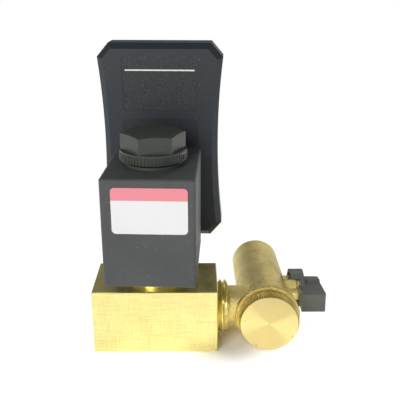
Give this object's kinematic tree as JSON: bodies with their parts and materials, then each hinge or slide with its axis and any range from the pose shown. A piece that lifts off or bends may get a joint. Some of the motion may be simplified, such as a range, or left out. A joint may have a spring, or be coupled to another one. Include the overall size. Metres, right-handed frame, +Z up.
{
  "type": "automatic drain valve",
  "caption": "Brass solenoid drain valve with a plug-on timer above the coil, fed through a strainer ball valve with a side lever.",
  "frame": {"origin": "middle of the valve block's bottom face", "axes": "+X along the block's port axis towards the strainer, +Y to the rear where the timer is, +Z up along the armature tube"},
  "size_m": [0.0904, 0.0914, 0.1112],
  "materials": {
    "cast_brass": "as cast",
    "machined_brass": "machined",
    "steel": "drawn",
    "plunger_steel": "ground",
    "spring_steel": "wire",
    "copper": "bright copper",
    "coil_resin": "moulded, matt",
    "timer_case": "moulded, satin",
    "nut_plastic": "moulded, satin",
    "black_plastic": "moulded",
    "bobbin_plastic": "moulded",
    "handle_plastic": "moulded, satin",
    "label": "printed film, bare",
    "plate": "embossed film, bare",
    "seal_rubber": "moulded",
    "ptfe": "turned PTFE",
    "chromed_brass": "chromed and polished",
    "tinned": "tinned",
    "board": "lacquered laminate",
    "dial_plastic": "moulded",
    "button_plastic": "moulded",
    "led": "clear tinted",
    "capacitor": "dipped"
  },
  "bodies": {
    "valve_body": {"valve_block": "machined_brass", "tube_flange": "machined_brass", "tube_o_ring": "seal_rubber", "armature_tube": "steel", "fixed_core": "steel", "shading_ring": "copper", "coil_lower_seal": "seal_rubber", "coil_upper_seal": "seal_rubber", "coil_nut": "nut_plastic", "strainer_body": "cast_brass", "cap_gasket": "seal_rubber", "ball_seats": "ptfe", "seat_retainer": "machined_brass", "stem_packing": "ptfe", "gland_nut": "machined_brass"},
    "plunger_unit": {"plunger": "plunger_steel", "plunger_seal": "seal_rubber", "plunger_spring": "spring_steel"},
    "coil_unit": {"coil_housing": "coil_resin", "coil_bobbin": "bobbin_plastic", "coil_winding": "copper", "coil_yoke": "steel", "coil_terminals": "tinned", "coil_insert": "machined_brass", "coil_label": "label", "connector_gasket": "seal_rubber", "timer_front_shell": "timer_case", "timer_rear_cover": "timer_case", "upper_plate": "plate", "lower_plate": "plate", "timer_socket": "black_plastic", "socket_contacts": "tinned", "circuit_board": "board", "film_capacitor": "capacitor", "drive_triac": "black_plastic", "timer_chip": "black_plastic", "dial_pots": "black_plastic", "test_switch": "black_plastic", "status_leds": "led", "supply_base": "black_plastic", "supply_blades": "tinned", "fixing_screw": "steel"},
    "on_dial": {"on_time_dial": "dial_plastic"},
    "off_dial": {"off_time_dial": "dial_plastic"},
    "button": {"test_button": "button_plastic", "switch_plunger": "black_plastic"},
    "screen_unit": {"strainer_screen": "steel"},
    "cap": {"strainer_cap": "cast_brass"},
    "handle_unit": {"ball": "chromed_brass", "stem": "machined_brass", "handle": "handle_plastic", "handle_screw": "steel"}
  },
  "joints": [
    {"name": "plunger_lift", "type": "slide", "parent": "valve_body", "child": "plunger_unit", "axis": [0, 0, 1], "range_m": [0, 0.002], "stiffness_N_per_m": 250, "springref_m": -0.008, "deforming": ["plunger_spring"]},
    {"name": "coil_swivel", "type": "hinge", "parent": "valve_body", "child": "coil_unit", "pos_m": [0, 0, 0.05], "axis": [0, 0, 1], "continuous": true},
    {"name": "on_dial_turn", "type": "hinge", "parent": "coil_unit", "child": "on_dial", "pos_m": [-0.00775, 0.05545, 0.0932], "axis": [-0.0497, -0.9988, 0], "range_deg": [-150, 150]},
    {"name": "off_dial_turn", "type": "hinge", "parent": "coil_unit", "child": "off_dial", "pos_m": [0.01322, 0.05441, 0.0932], "axis": [-0.0497, -0.9988, 0], "range_deg": [-150, 150]},
    {"name": "button_press", "type": "slide", "parent": "coil_unit", "child": "button", "axis": [-0.0497, -0.9988, 0], "range_m": [0, 0.0008], "stiffness_N_per_m": 800, "springref_m": -0.0005},
    {"name": "cap_draw", "type": "slide", "parent": "valve_body", "child": "screen_unit", "axis": [0, -0.9987, 0.0506], "range_m": [0, 0.007]},
    {"name": "cap_turn", "type": "hinge", "parent": "screen_unit", "child": "cap", "pos_m": [0.0426, -0.01199, 0.01336], "axis": [0, -0.9987, 0.0506], "range_deg": [0, 2520]},
    {"name": "handle_turn", "type": "hinge", "parent": "valve_body", "child": "handle_unit", "pos_m": [0.0426, 0.01708, 0.01188], "axis": [-1, 0, 0], "range_deg": [0, 90]}
  ],
  "couplings": [
    {"joint": "cap_turn", "follows": "cap_draw", "rad_per_m": 6283.2}
  ]
}
